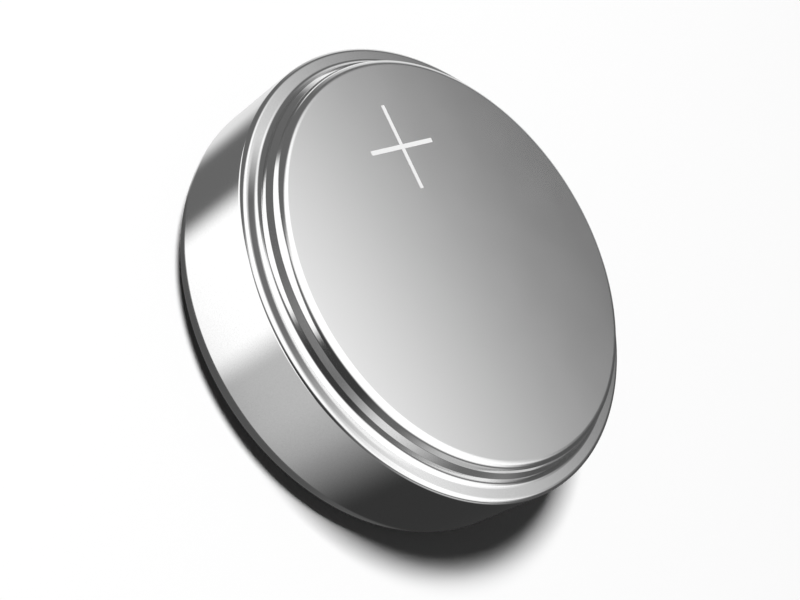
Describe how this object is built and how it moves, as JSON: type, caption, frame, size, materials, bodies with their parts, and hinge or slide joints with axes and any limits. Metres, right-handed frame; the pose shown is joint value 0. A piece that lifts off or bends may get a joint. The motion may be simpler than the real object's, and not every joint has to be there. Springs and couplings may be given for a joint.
{
  "type": "lithium coin cell",
  "caption": "Thick lithium coin cell: a stepped steel can with the positive face on top, crimped over a plastic sealing ring and a hemmed negative cap, with its electrodes inside.",
  "frame": {"origin": "centre of the negative cap's outer face, which the cell rests on", "axes": "+Z along the cell's axis from the negative face to the positive face; X and Y are free, because the cell is round"},
  "size_m": [0.0244, 0.0244, 0.0077],
  "materials": {
    "can_steel": "bright nickel-plated steel, satin on the face and polished on the rim and wall",
    "cap_steel": "satin nickel-plated steel",
    "seal_plastic": "natural polypropylene, smooth and slightly waxy",
    "lithium": "soft pressed lithium metal, dull silver",
    "separator_felt": "white non-woven polypropylene",
    "cathode_mix": "pressed manganese dioxide and graphite, matt black",
    "collector_steel": "plain stainless steel strip"
  },
  "bodies": {
    "root": {"positive_can": "can_steel", "sealing_ring": "seal_plastic", "negative_cap": "cap_steel", "lithium_anode": "lithium", "separator": "separator_felt", "cathode_pellet": "cathode_mix", "collector_ring": "collector_steel"}
  },
  "joints": []
}
